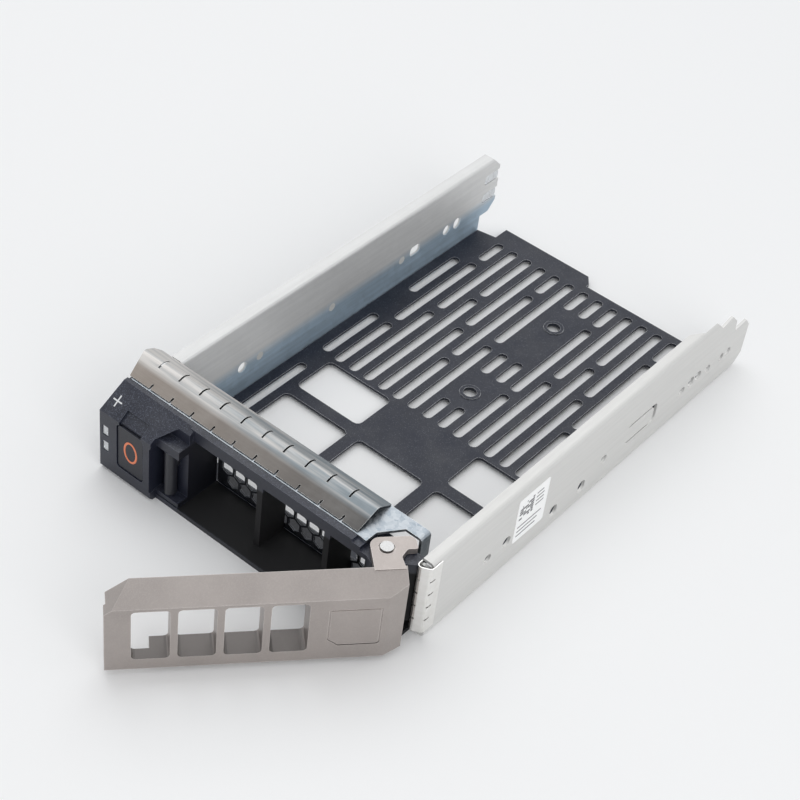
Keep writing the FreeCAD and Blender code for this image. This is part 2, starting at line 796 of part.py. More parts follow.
def side_gasket():
    """Return the sprung gasket clipped round the right rail's front edge."""
    half = gasket_sheet / 2
    inner = corner_right + 0.5 + half
    outer = half_bay + rail_sheet + 0.05 + half
    path = [
        (inner, rail_front - 0.2), (inner, rail_front - 3.2), (outer, rail_front - 1.2), (outer, rail_front + 3.4),
    ]
    low = 3.2
    high = 29.0
    strip = bent_strip(path, gasket_sheet, 0.9, on_plan(low), point(0, 0, high - low))
    cutters = []
    step = (high - low) / (side_gasket_slots + 1)
    for i in range(side_gasket_slots):
        z = low + (i + 1) * step
        cutters.append(box(inner - 1, inner + 1.6, rail_front - 4, rail_front - 1.0, z - 0.25, z + 0.25))
        cutters.append(box(outer - 1.0, outer + 1, rail_front - 1.2, rail_front + 0.8, z - 0.25, z + 0.25))
    return strip.cut(Part.makeCompound(cutters))


def from_hinge(s, n):
    """Turn lengths along and in front of the closed handle into x and y."""
    return (hinge_x + s, hinge_y - n)


def handle_body():
    """Return the handle's bar: bevelled front, windows and relieved back."""
    front = hinge_y - handle_front
    back = front + handle_depth
    section = [(front, handle_bottom), (front, bevel_height), (back, handle_top), (back, handle_bottom)]
    left = hinge_x - handle_reach
    right = hinge_x + handle_heel
    body = side_prism(section, left, right)
    corner = front_prism(
        [(left - 1, handle_top + 1), (left - 1, handle_top - 5.4), (left, handle_top - 5.4),
         (left + 6.8, handle_top), (left + 6.8, handle_top + 1)],
        front - 1, back + 1,
    )
    heel = plan_prism([(right - 5.4, front), (right + 1, front), (right + 1, front + 3.2),
                       (right, front + 3.0)],
                      handle_bottom - 1, handle_top + 1)
    first = hinge_x - handle_reach + 7.0
    last = first + (window_count - 1) * window_pitch + window_width
    body = body.cut(Part.makeCompound([corner, heel]))
    windows = []
    for i in range(window_count):
        x = first + i * window_pitch
        windows.append(front_prism(rounded(x, x + window_width, window_low, window_high, 1.2), front - 1,
                                   back + 1))
    relief = box(left - 1, first + window_width / 2, front + handle_thin, back + 1, handle_bottom - 1,
                 window_high - 0.2)
    hollow_left = last + 2.2
    hollow = []
    for x0, x1 in ((hollow_left, hollow_left + 9.0), (hollow_left + 10.4, right - 4.2)):
        hollow.append(front_prism(rounded(x0, x1, handle_bottom + 2.4, bevel_height - 2.2, 1.0),
                                  front + 2.0, back + 1))
    panel_left = last + 5.2
    panel_right = panel_left + 14.4
    rim = [(panel_left + 3.0, 7.4), (panel_right, 7.4, 1.0), (panel_right, 21.8), (panel_left, 21.8),
           (panel_left, 10.0)]
    inside = [(panel_left + 3.2, 7.8), (panel_right - 0.4, 7.8, 0.7), (panel_right - 0.4, 21.4),
              (panel_left + 0.4, 21.4), (panel_left + 0.4, 10.2)]
    groove = front_prism(rim, front - 1, front + 0.25).cut(front_prism(inside, front - 2, front + 1))
    return body.cut(Part.makeCompound(windows + [relief, groove])).cut(Part.makeCompound(hollow))


def handle_ear(low, high):
    """Return one hinge ear of the handle, with the jaw that hooks behind the chassis."""
    back = handle_front - handle_depth
    corners = [
        from_hinge(-4.4, back + 1.0) + (0,), from_hinge(-4.4, -3.8) + (3.0,),
        from_hinge(jaw_reach, -3.8) + (2.2,), from_hinge(jaw_reach, 1.0) + (0.6,),
        from_hinge(5.6, 1.0) + (0.5,), from_hinge(3.6, 3.6) + (1.0,), from_hinge(4.2, back + 1.0) + (0,),
    ]
    return plan_prism(corners, low, high)


def latch_handle():
    """Return the handle, opened to the angle that its spring holds."""
    top_ear = handle_ear(handle_top - ear_thickness, handle_top)
    low_ear = handle_ear(handle_bottom, ear_top())
    handle = handle_body().fuse([top_ear, low_ear])
    bore = rod(pin_radius + pin_play, point(hinge_x, hinge_y, 0), point(0, 0, handle_top + 2))
    seat = rod(2.3, point(hinge_x, hinge_y, handle_top - 0.5), point(0, 0, 2))
    handle = handle.cut(bore).cut(seat).removeSplitter()
    return opened(handle)


def opened(shape):
    """Turn a shape from the closed to the open pose."""
    shape.rotate(point(hinge_x, hinge_y, 0), point(0, 0, 1), open_angle)
    return shape


def hinge_pin():
    """Return the headed pin through the handle's ears and the bezel's corner."""
    shank = rod(pin_radius, point(hinge_x, hinge_y, 0.5), point(0, 0, handle_top - 0.9))
    head = rod(1.9, point(hinge_x, hinge_y, handle_top - 0.45), point(0, 0, 0.9))
    return shank.fuse(head)


def handle_spring():
    """Return the torsion spring round the pin, with a leg to the handle's back."""
    radius = 2.7
    wire = 0.35
    low = spring_low() + 0.8
    turns = coil(radius, wire, 5.5, point(hinge_x, hinge_y, low), point(0, 0, 5.0))
    reach = handle_front - handle_depth - 0.1
    leg = small_rod(wire * 1.2, point(hinge_x - radius, hinge_y + 0.5, low + 5.0),
                    point(0, -reach - 0.5, 0))
    return opened(turns.fuse(leg))


def release_button():
    """Return the button: a rounded cap on a round stem with a wedge at its end."""
    x, z = button_middle()
    half_w, half_h = button_width / 2, button_height / 2
    face = block_face + 0.3
    cap = front_prism(rounded(x - half_w, x + half_w, z - half_h, z + half_h, 0.9), face, face + 2.2)
    stem = rod(1.6, point(x, face + 2.0, z), point(0, 9.0, 0))
    wedge_y = face + 10.0
    wedge = plan_prism(
        [(x - 1.2, wedge_y), (x + 3.4, wedge_y), (x + 3.4, wedge_y + 5.4), (x - 1.2 + 4.4, wedge_y + 5.4)],
        z - 1.5, z + 1.5,
    )
    return cap.fuse([stem, wedge]).removeSplitter()


def button_spring():
    """Return the spring behind the button's cap, round its stem."""
    x, z = button_middle()
    start = block_face + 0.3 + 2.2 + 0.35
    return coil(2.3, 0.25, 4, point(x, start, z), point(0, 3.6, 0))


def spring_rib():
    """Return the loose collar behind the button that the stem slides in."""
    x, z = button_middle()
    front = block_face + 0.3 + 2.2 + 0.35 + 3.6 + 0.3
    left = bezel_left + 0.95
    right = button_face_right - 1.65
    plate = box(left + 3.6, right, front, front + 1.2, bezel_wall + 0.05, bezel_height - bezel_wall - 2.6)
    return plate.cut(rod(1.65, point(x, front - 1, z), point(0, 4, 0)))


def catch_slide():
    """Return the catch: a round bar in the bezel's notch, its arm and its slide."""
    low, high = catch_span()
    y = handle_catch_face() + 1.0 + catch_radius + 0.1
    bar = rod(catch_radius, point(catch_x(), y, low), point(0, 0, high - low))
    arm_low, arm_high = arm_span()
    back = frame_face - recess_depth + bezel_wall + moving_gap
    arm = box(catch_x() - 1.3, catch_x() + 1.3, y, back + 2.4, arm_low, arm_high)
    slide = box(button_face_right - 1.2 + catch_travel, catch_x() + 1.3, back, back + 2.4, arm_low - 1.0,
                arm_high + 3.8)
    guide = rod(0.85, point(button_face_right - 6, back + 1.2, arm_high + 2.2), point(40, 0, 0))
    return bar.fuse([arm, slide]).cut(guide).removeSplitter()


def guide_pin():
    """Return the pin that the catch slides on."""
    back = frame_face - recess_depth + bezel_wall + moving_gap
    z = arm_span()[1] + 2.2
    left = button_face_right - 1.55
    return rod(0.8, point(left, back + 1.2, z), point(block_right - catch_wall - 0.05 - left, 0, 0))


def catch_spring():
    """Return the spring that pushes the catch back, round its pin."""
    back = frame_face - recess_depth + bezel_wall + moving_gap
    z = arm_span()[1] + 2.2
    start = catch_x() + 1.3 + 0.3
    return coil(1.35, 0.2, 2.5, point(start, back + 1.2, z),
                point(block_right - catch_wall - 0.25 - start, 0, 0))


def light_pipe(front_z, rear_z):
    """Return one clear light pipe from its window in the bezel to its end at the rear."""
    front_x = pipe_front_x()
    side_x = -half_bay - rail_sheet - 0.5 - pipe_width / 2
    joint_y = -76.0
    start_y = block_face + 0.3
    plan = [(front_x, start_y), (front_x, frame_back + 0.6), (side_x, joint_y - 2.0), (side_x, joint_y)]
    low = front_z - light_height / 2
    front = bent_strip(plan, pipe_width, 1.0, on_plan(low), point(0, 0, light_height))
    end_y = left_rear - 0.4
    side = [(joint_y - 0.5, front_z), (joint_y + 1.0, front_z), (joint_y + 17.0, rear_z), (end_y, rear_z)]
    rear = bent_strip(side, pipe_height, 1.5, on_side(side_x - pipe_width / 2), point(pipe_width, 0, 0))
    half = lens_height / 2
    lens = side_prism(rounded(end_y - lens_length, end_y, rear_z - half, rear_z + half, 1.0),
                      side_x - pipe_width / 2, -half_bay - 0.2)
    return front.fuse([rear, lens]).removeSplitter()


def pipe_clips():
    """Return the clips that hold the light pipes to the left rail, pegged into its holes."""
    near = -half_bay - rail_sheet
    far = near - 0.5 - pipe_width - 0.6
    half = pipe_height / 2
    clips = []
    for y in clip_places():
        clip = box(far, near, y - 2.5, y + 2.5, hole_height - 2.4, upper_rear_light + half + 1.0)
        for light in (lower_rear_light, upper_rear_light):
            clip = clip.cut(box(near - 0.45 - pipe_width - 0.1, near - 0.45, y - 3, y + 3,
                                light - half - 0.05, light + half + 0.05))
        peg = small_rod(1.45, point(near, y, hole_height), point(rail_sheet, 0, 0))
        clips.append(clip.fuse(peg))
    return Part.makeCompound(clips)


def rail_label():
    """Return the bare label on the right rail."""
    x = half_bay + rail_sheet
    return side_prism(rounded(-47.6, -32.8, 7.9, 25.4, 0.8), x, x + 0.12)


os.makedirs("parts", exist_ok=True)
save(base_plate(), "base_plate")
save(left_rail(), "left_rail")
save(right_rail(), "right_rail")
save(front_bracket(), "front_bracket")
save(bracket_rivets(), "bracket_rivets")
save(bezel_screws(), "bezel_screws")
save(air_grille(), "air_grille")
save(front_bezel(), "front_bezel")
save(top_gasket(), "top_gasket")
save(side_gasket(), "side_gasket")
save(latch_handle(), "latch_handle")
save(hinge_pin(), "hinge_pin")
save(handle_spring(), "handle_spring")
save(release_button(), "release_button")
save(button_spring(), "button_spring")
save(spring_rib(), "button_guide")
save(catch_slide(), "latch_catch")
save(guide_pin(), "catch_guide_pin")
save(catch_spring(), "catch_spring")
save(light_pipe(lower_light, lower_rear_light), "lower_light_pipe")
save(light_pipe(upper_light, upper_rear_light), "upper_light_pipe")
save(pipe_clips(), "light_pipe_clips")
save(rail_label(), "rail_label")
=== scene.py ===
"""Looks of a hot swap drive caddy: finishes, printed and inlaid marks, camera and studio."""
import logging
import math
from dataclasses import dataclass, field
from enum import Enum

import bpy
import numpy as np
from mathutils import Matrix, Vector


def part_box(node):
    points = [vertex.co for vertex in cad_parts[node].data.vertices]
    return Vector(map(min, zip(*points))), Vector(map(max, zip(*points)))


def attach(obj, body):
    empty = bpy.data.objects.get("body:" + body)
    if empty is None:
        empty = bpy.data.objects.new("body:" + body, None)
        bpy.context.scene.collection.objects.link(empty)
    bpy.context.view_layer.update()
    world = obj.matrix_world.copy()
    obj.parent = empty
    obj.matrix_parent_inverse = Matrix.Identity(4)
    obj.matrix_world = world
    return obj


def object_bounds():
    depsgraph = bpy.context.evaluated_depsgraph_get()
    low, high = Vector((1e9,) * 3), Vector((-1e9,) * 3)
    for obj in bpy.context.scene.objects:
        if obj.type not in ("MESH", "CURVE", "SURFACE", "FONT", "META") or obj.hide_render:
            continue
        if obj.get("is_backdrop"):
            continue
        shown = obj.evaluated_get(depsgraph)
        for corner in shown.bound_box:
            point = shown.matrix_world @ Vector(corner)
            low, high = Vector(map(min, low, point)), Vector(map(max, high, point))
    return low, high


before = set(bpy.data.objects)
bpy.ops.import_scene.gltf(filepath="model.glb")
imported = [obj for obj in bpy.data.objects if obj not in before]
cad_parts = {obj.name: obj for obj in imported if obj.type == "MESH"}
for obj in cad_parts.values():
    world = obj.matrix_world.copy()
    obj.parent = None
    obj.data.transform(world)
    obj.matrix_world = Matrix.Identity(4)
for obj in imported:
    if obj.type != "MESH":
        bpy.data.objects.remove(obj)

LOG = logging.getLogger("drive_caddy")
MM = 0.001

Colour = tuple[float, float, float]
Place = tuple[float, float, float]
Span = tuple[float, float]

CLOUD_SPAN: Span = (0.35, 0.65)
GRAIN_SPAN: Span = (0.3, 0.7)
EDGE_TURN: Span = (0.05, 0.28)
EDGE_BREAK_PATCH: Span = (0.38, 0.62)
DUST_FACING: Span = (0.3, 1.0)
DUST_CLOUD: Span = (0.42, 0.75)
SPANGLE_BORDER = 0.12
SPANGLE_NUDGE = 0.0012
FLECK_GAIN = 5.0
DUST_ON_METAL: Colour = (0.62, 0.61, 0.58)
DUST_ON_COAT: Colour = (0.4, 0.4, 0.4)
DUST_ON_PLASTIC: Colour = (0.35, 0.35, 0.36)


class Grain(Enum):
    """Direction that a sheet was rolled or brushed in, as the stretch of its pattern."""

    ALONG_X = (0.04, 1.0, 1.0)
    ALONG_Y = (1.0, 0.04, 1.0)
    NONE = (1.0, 1.0, 1.0)


class Body(Enum):
    """The bodies that the added pieces ride on."""

    TRAY = "tray"
    BUTTON = "button"


# Node graphs


class Graph:
    """Adds nodes to one node tree and joins their sockets."""

    def __init__(self, tree: bpy.types.NodeTree) -> None:
        """Keep the tree that nodes are added to."""
        self.tree = tree

    def add(self, kind: str, **settings: object) -> bpy.types.Node:
        """Add one node and set its plain properties.

        Args:
            kind: Blender's name of the node type.
            settings: properties of the node, such as operation.

        Returns:
            The new node.
        """
        node = self.tree.nodes.new(kind)
        for name, value in settings.items():
            setattr(node, name, value)
        return node

    def feed(self, target: bpy.types.NodeSocket, source: object) -> None:
        """Join a socket to another, or set its own value.

        Args:
            target: the input socket.
            source: an output socket, a number or a tuple.
        """
        if isinstance(source, bpy.types.NodeSocket):
            self.tree.links.new(source, target)
        elif isinstance(source, tuple) and len(source) == 3 and target.type == "RGBA":
            target.default_value = (*source, 1.0)
        else:
            target.default_value = source

    def maths(self, operation: str, *values: object, clamp: bool = False) -> bpy.types.NodeSocket:
        """Work out one operation on numbers and return its result."""
        node = self.add("ShaderNodeMath", operation=operation, use_clamp=clamp)
        for socket, value in zip(node.inputs, values):
            self.feed(socket, value)
        return node.outputs[0]

    def spread(self, value: object, low: float, high: float, out_low: float,
               out_high: float) -> bpy.types.NodeSocket:
        """Carry a value from one range to another, held at both ends, and return it."""
        node = self.add("ShaderNodeMapRange", clamp=True)
        for socket, number in zip(node.inputs, (value, low, high, out_low, out_high)):
            self.feed(socket, number)
        return node.outputs[0]

    def blend(self, share: object, first: object, second: object) -> bpy.types.NodeSocket:
        """Mix two colours by a share from 0 to 1 and return the colour."""
        node = self.add("ShaderNodeMix", data_type="RGBA")
        self.feed(node.inputs[0], share)
        self.feed(node.inputs[6], first)
        self.feed(node.inputs[7], second)
        return node.outputs[2]

    def noise(self, place: object, scale: object, detail: float,
              roughness: float = 0.5) -> bpy.types.NodeSocket:
        """Return the value of a noise pattern at a place."""
        node = self.add("ShaderNodeTexNoise")
        self.feed(node.inputs["Vector"], place)
        self.feed(node.inputs["Scale"], scale)
        self.feed(node.inputs["Detail"], detail)
        self.feed(node.inputs["Roughness"], roughness)
        return node.outputs[0]

    def place(self) -> bpy.types.NodeSocket:
        """Return the place on the piece, in metres."""
        return self.add("ShaderNodeTexCoord").outputs["Object"]

    def split(self, vector: bpy.types.NodeSocket) -> bpy.types.NodeOutputs:
        """Return the X, Y and Z of a place or a direction."""
        node = self.add("ShaderNodeSeparateXYZ")
        self.feed(node.inputs[0], vector)
        return node.outputs

    def facing(self) -> bpy.types.NodeSocket:
        """Return how far the surface faces up, from -1 to 1."""
        geometry = self.add("ShaderNodeNewGeometry")
        return self.split(geometry.outputs["Normal"])[2]

    def cloud(self, scale: float, detail: float) -> bpy.types.NodeSocket:
        """Return slow changes of tone, from 0 to 1."""
        return self.spread(self.noise(self.place(), scale, detail), *CLOUD_SPAN, 0.0, 1.0)


def new_group(name: str, inputs: dict[str, float],
              outputs: tuple[str, ...]) -> tuple[bpy.types.NodeTree, Graph]:
    """Make an empty shader node group with its sockets.

    Args:
        name: name of the group.
        inputs: names of number inputs with their usual values.
        outputs: names of the number outputs.

    Returns:
        The group and a graph that adds to it.
    """
    tree = bpy.data.node_groups.new(name, "ShaderNodeTree")
    for label, value in inputs.items():
        socket = tree.interface.new_socket(label, in_out="INPUT", socket_type="NodeSocketFloat")
        socket.default_value = value
    for label in outputs:
        tree.interface.new_socket(label, in_out="OUTPUT", socket_type="NodeSocketFloat")
    return tree, Graph(tree)


def edge_wear_and_highlight_group() -> bpy.types.NodeTree:
    """Make the group that finds edges to lighten, for wear and as painted highlight.

    The mask is one less the product of the rounded and the true normal, spread over a range
    and broken up by noise.

    Returns:
        The group, with Radius and Break inputs and a Mask output.
    """
    tree, graph = new_group("edge_wear_and_highlight", {"Radius": 0.0003, "Break": 0.5}, ("Mask",))
    entry = graph.add("NodeGroupInput")
    exit_node = graph.add("NodeGroupOutput")
    bevel = graph.add("ShaderNodeBevel", samples=4)
    graph.feed(bevel.inputs["Radius"], entry.outputs["Radius"])
    geometry = graph.add("ShaderNodeNewGeometry")
    dot = graph.add("ShaderNodeVectorMath", operation="DOT_PRODUCT")
    graph.feed(dot.inputs[0], bevel.outputs[0])
    graph.feed(dot.inputs[1], geometry.outputs["True Normal"])
    # Edges where the normal turns are lightened, partly for wear and partly as painted highlight.
    edge = graph.spread(graph.maths("SUBTRACT", 1.0, dot.outputs["Value"]), *EDGE_TURN, 0.0, 1.0)
    patches = graph.spread(graph.noise(graph.place(), 420.0, 4.0), *EDGE_BREAK_PATCH, 0.0, 1.0)
    keep = graph.maths("MULTIPLY", patches, entry.outputs["Break"])
    graph.feed(exit_node.inputs[0],
               graph.maths("MULTIPLY", edge, graph.maths("SUBTRACT", 1.0, keep), clamp=True))
    return tree


def grain_group() -> bpy.types.NodeTree:
    """Make the group of drawn-out noise, as rolling or brushing leaves on sheet.

    The place is squeezed along the grain's axis, so that noise there becomes lines, and a
    broad and a fine pattern are put out.

    Returns:
        The group, with Scale and the three stretches as inputs, and Broad and Fine outputs.
    """
    sockets = {"Scale": 600.0, "Stretch X": 1.0, "Stretch Y": 1.0, "Stretch Z": 1.0}
    tree, graph = new_group("drawn_grain", sockets, ("Broad", "Fine"))
    entry = graph.add("NodeGroupInput")
    exit_node = graph.add("NodeGroupOutput")
    stretch = graph.add("ShaderNodeCombineXYZ")
    for axis in range(3):
        graph.feed(stretch.inputs[axis], entry.outputs[axis + 1])
    squeezed = graph.add("ShaderNodeVectorMath", operation="MULTIPLY")
    graph.feed(squeezed.inputs[0], graph.place())
    graph.feed(squeezed.inputs[1], stretch.outputs[0])
    graph.feed(exit_node.inputs[0], graph.noise(squeezed.outputs[0], entry.outputs["Scale"], 3.0))
    fine = graph.maths("MULTIPLY", entry.outputs["Scale"], 6.0)
    graph.feed(exit_node.inputs[1], graph.noise(squeezed.outputs[0], fine, 5.0, 0.6))
    return tree


def spangle_group() -> bpy.types.NodeTree:
    """Make the group of zinc flowers: cells of unlike brightness with soft borders.

    Returns:
        The group, with a Scale input and Tone and Border outputs.
    """
    tree, graph = new_group("zinc_spangle", {"Scale": 500.0}, ("Tone", "Border"))
    entry = graph.add("NodeGroupInput")
    exit_node = graph.add("NodeGroupOutput")
    warped = graph.add("ShaderNodeVectorMath", operation="ADD")
    graph.feed(warped.inputs[0], graph.place())
    shift = graph.add("ShaderNodeTexNoise")
    graph.feed(shift.inputs["Vector"], graph.place())
    graph.feed(shift.inputs["Scale"], 700.0)
    nudge = graph.add("ShaderNodeVectorMath", operation="SCALE")
    graph.feed(nudge.inputs[0], shift.outputs["Color"])
    nudge.inputs["Scale"].default_value = SPANGLE_NUDGE
    graph.feed(warped.inputs[1], nudge.outputs[0])
    cells = graph.add("ShaderNodeTexVoronoi", feature="F1")
    graph.feed(cells.inputs["Vector"], warped.outputs[0])
    graph.feed(cells.inputs["Scale"], entry.outputs["Scale"])
    split = graph.add("ShaderNodeSeparateColor")
    graph.feed(split.inputs[0], cells.outputs["Color"])
    graph.feed(exit_node.inputs[0], split.outputs[0])
    edges = graph.add("ShaderNodeTexVoronoi", feature="DISTANCE_TO_EDGE")
    graph.feed(edges.inputs["Vector"], warped.outputs[0])
    graph.feed(edges.inputs["Scale"], entry.outputs["Scale"])
    graph.feed(exit_node.inputs[1], graph.spread(edges.outputs[0], 0.0, SPANGLE_BORDER, 1.0, 0.0))
    return tree


def fleck_group() -> bpy.types.NodeTree:
    """Make the group of fine flecks: flakes in paint and coat, and painted glints on textured plastic.

    Returns:
        The group, with Scale and Rarity inputs and a Mask output.
    """
    tree, graph = new_group("fine_fleck", {"Scale": 3000.0, "Rarity": 0.7}, ("Mask",))
    entry = graph.add("NodeGroupInput")
    exit_node = graph.add("NodeGroupOutput")
    cells = graph.add("ShaderNodeTexVoronoi", feature="F1")
    graph.feed(cells.inputs["Vector"], graph.place())
    graph.feed(cells.inputs["Scale"], entry.outputs["Scale"])
    split = graph.add("ShaderNodeSeparateColor")
    graph.feed(split.inputs[0], cells.outputs["Color"])
    above = graph.maths("SUBTRACT", split.outputs[1], entry.outputs["Rarity"])
    graph.feed(exit_node.inputs[0], graph.maths("MULTIPLY", above, FLECK_GAIN, clamp=True))
    return tree


def dust_group() -> bpy.types.NodeTree:
    """Make the group of faint dust that lies on faces that look up.

    Returns:
        The group, with an Amount input and a Mask output.
    """
    tree, graph = new_group("settled_dust", {"Amount": 0.2}, ("Mask",))
    entry = graph.add("NodeGroupInput")
    exit_node = graph.add("NodeGroupOutput")
    upward = graph.spread(graph.facing(), *DUST_FACING, 0.0, 1.0)
    cloud = graph.spread(graph.noise(graph.place(), 90.0, 6.0, 0.65), *DUST_CLOUD, 0.0, 1.0)
    both = graph.maths("MULTIPLY", upward, cloud)
    graph.feed(exit_node.inputs[0], graph.maths("MULTIPLY", both, entry.outputs["Amount"], clamp=True))
    return tree


EDGE_WEAR_AND_HIGHLIGHT = edge_wear_and_highlight_group()
DRAWN_GRAIN = grain_group()
ZINC_SPANGLE = spangle_group()
FINE_FLECK = fleck_group()
SETTLED_DUST = dust_group()


def use_group(graph: Graph, tree: bpy.types.NodeTree, **values: float) -> bpy.types.Node:
    """Place a group in a material with its own values.

    Args:
        graph: the material's graph.
        tree: the group.
        values: input values, with _ for a blank in their names.

    Returns:
        The group's node.
    """
    node = graph.add("ShaderNodeGroup", node_tree=tree)
    for name, value in values.items():
        graph.feed(node.inputs[name.replace("_", " ")], value)
    return node


# Finishes


@dataclass(frozen=True)
class Finish:
    """A surface finish: a name and the shader that it is made with."""

    name: str
    colour: Colour
    roughness: float

    def material(self) -> bpy.types.Material:
        """Make the material of this finish and return it."""
        made = bpy.data.materials.new(self.name)
        made.use_nodes = True
        made.diffuse_color = (*self.colour, 1.0)
        shader = next(n for n in made.node_tree.nodes if n.type == "BSDF_PRINCIPLED")
        self.dress(Graph(made.node_tree), shader)
        return made

    def dress(self, graph: Graph, shader: bpy.types.Node) -> None:
        """Join the finish's pattern to the shader."""
        raise NotImplementedError

    def bump(self, graph: Graph, shader: bpy.types.Node, height: object, depth: float,
             strength: float) -> None:
        """Raise the surface by a height pattern.

        Args:
            graph: the material's graph.
            shader: the Principled shader.
            height: a socket with the pattern.
            depth: real depth in metres.
            strength: how much of it shows.
        """
        node = graph.add("ShaderNodeBump")
        node.inputs["Strength"].default_value = strength
        node.inputs["Distance"].default_value = depth
        graph.feed(node.inputs["Height"], height)
        graph.feed(shader.inputs["Normal"], node.outputs[0])


@dataclass(frozen=True)
class SheetMetal(Finish):
    """Bare or plated sheet with drawn lines, and zinc flowers where it has them."""

    second: Colour = (0.5, 0.5, 0.5)
    grain: Grain = Grain.ALONG_Y
    line_scale: float = 700.0
    line_depth: float = 0.000004
    spangle: float = 0.0
    spangle_scale: float = 420.0
    metallic: float = 1.0
    edge: Colour = (0.85, 0.85, 0.84)
    side_shift: float = 0.0
    side_edge: Span = (-0.058, 0.03)
    front: Colour | None = None
    front_far: Colour = (0.1, 0.1, 0.1)
    front_edge: Span = (0.0, 0.0)
    foot: Colour | None = None
    foot_edge: Span = (0.0, 0.0)
    foot_side: Span = (-0.0516, -0.0512)

    def dress(self, graph: Graph, shader: bpy.types.Node) -> None:
        """Mix two metal tones along the grain and over the spangle, with bright edges from wear and painted
        highlight; where set, add painted shading across the sheet, painted shade on a front slope and a
        painted reflection low on an inner face.
        """
        x, y, z = self.grain.value
        lines = use_group(graph, DRAWN_GRAIN, Scale=self.line_scale, Stretch_X=x, Stretch_Y=y, Stretch_Z=z)
        tone = graph.spread(lines.outputs["Broad"], *GRAIN_SPAN, 0.0, 1.0)
        height = lines.outputs["Fine"]
        rough = graph.spread(lines.outputs["Fine"], *GRAIN_SPAN, self.roughness * 0.85,
                             self.roughness * 1.2)
        if self.spangle > 0:
            flowers = use_group(graph, ZINC_SPANGLE, Scale=self.spangle_scale)
            part = graph.maths("MULTIPLY", flowers.outputs["Tone"], self.spangle)
            rest = graph.maths("MULTIPLY", tone, 1.0 - self.spangle)
            tone = graph.maths("ADD", part, rest)
            soft = graph.maths("MULTIPLY", flowers.outputs["Tone"], 0.16 * self.spangle)
            rough = graph.maths("ADD", rough, soft)
            height = graph.maths("ADD", height, graph.maths("MULTIPLY", flowers.outputs["Border"], 0.4))
        spot = graph.split(graph.place())
        # Painted shading: the tone is shifted darker towards one side of the sheet and lighter towards the
        # other.
        if self.side_shift > 0:
            across = graph.spread(spot[0], *self.side_edge, -self.side_shift, self.side_shift)
            tone = graph.maths("ADD", tone, across, clamp=True)
        colour = graph.blend(tone, self.colour, self.second)
        # Painted shade: the front slope is coloured darker, and darker still towards the far side.
        if self.front is not None:
            far = graph.spread(spot[0], *self.side_edge, 0.0, 1.0)
            slope = graph.blend(far, self.front, self.front_far)
            colour = graph.blend(graph.spread(spot[1], *self.front_edge, 1.0, 0.0), colour, slope)
        # Painted reflection: the low part of the inner face takes a bluish tone that stands for the dark
        # plate mirrored in it.
        if self.foot is not None:
            inner = graph.spread(spot[0], *self.foot_side, 0.0, 1.0)
            low = graph.spread(spot[2], *self.foot_edge, 1.0, 0.0)
            deep = tuple(0.72 * part for part in self.foot)
            colour = graph.blend(graph.maths("MULTIPLY", inner, low), colour,
                                 graph.blend(tone, deep, self.foot))
        # Bright edges: partly wear, partly painted highlight.
        wear_and_highlight = use_group(graph, EDGE_WEAR_AND_HIGHLIGHT, Radius=0.00018, Break=0.4)
        dust = use_group(graph, SETTLED_DUST, Amount=0.1)
        colour = graph.blend(wear_and_highlight.outputs["Mask"], colour, self.edge)
        colour = graph.blend(dust.outputs["Mask"], colour, DUST_ON_METAL)
        graph.feed(shader.inputs["Base Color"], colour)
        shader.inputs["Metallic"].default_value = self.metallic
        graph.feed(shader.inputs["Roughness"], rough)
        self.bump(graph, shader, height, self.line_depth, 0.5)


@dataclass(frozen=True)
class CoatedSheet(Finish):
    """Satin coat on sheet, a little orange-peeled, with bright edges that are partly bare metal at cuts and
    partly painted highlight.
    """

    edge: Colour = (0.5, 0.52, 0.56)
    fleck: Colour = (0.3, 0.33, 0.38)
    peel: float = 0.000006
    metallic: float = 0.25

    def dress(self, graph: Graph, shader: bpy.types.Node) -> None:
        """Vary the coat a little, roll it gently and lighten its edges for wear and painted highlight."""
        cloud = graph.cloud(120.0, 5.0)
        deep = tuple(0.8 * part for part in self.colour)
        colour = graph.blend(cloud, deep, self.colour)
        fleck = use_group(graph, FINE_FLECK, Scale=4200.0, Rarity=0.86)
        colour = graph.blend(graph.maths("MULTIPLY", fleck.outputs["Mask"], 0.2), colour, self.fleck)
        # Bright edges: partly bare metal, partly painted highlight.
        wear_and_highlight = use_group(graph, EDGE_WEAR_AND_HIGHLIGHT, Radius=0.00024, Break=0.3)
        colour = graph.blend(wear_and_highlight.outputs["Mask"], colour, self.edge)
        dust = use_group(graph, SETTLED_DUST, Amount=0.05)
        colour = graph.blend(dust.outputs["Mask"], colour, DUST_ON_COAT)
        graph.feed(shader.inputs["Base Color"], colour)
        shader.inputs["Metallic"].default_value = self.metallic
        graph.feed(shader.inputs["Roughness"],
                   graph.spread(cloud, 0.0, 1.0, self.roughness * 0.9, self.roughness * 1.15))
        self.bump(graph, shader, graph.noise(graph.place(), 1500.0, 2.0), self.peel, 0.6)


@dataclass(frozen=True)
class PaintedShade:
    """Painted shade in the inside of an opening: under a height, right of a width and behind a face."""

    top: Span = (0.0235, 0.0245)
    left: Span = (-0.0294, -0.0291)
    face: Span = (-0.1015, -0.1005)
    colour: Colour = (0.002, 0.002, 0.003)
    roughness: float = 0.75

    def outside(self, graph: Graph) -> bpy.types.NodeSocket:
        """Return a mask that is 1 outside the opening and 0 in it."""
        spot = graph.split(graph.place())
        above = graph.spread(spot[2], *self.top, 0.0, 1.0)
        beside = graph.spread(spot[0], *self.left, 1.0, 0.0)
        before = graph.spread(spot[1], *self.face, 1.0, 0.0)
        return graph.maths("MAXIMUM", graph.maths("MAXIMUM", above, beside), before)


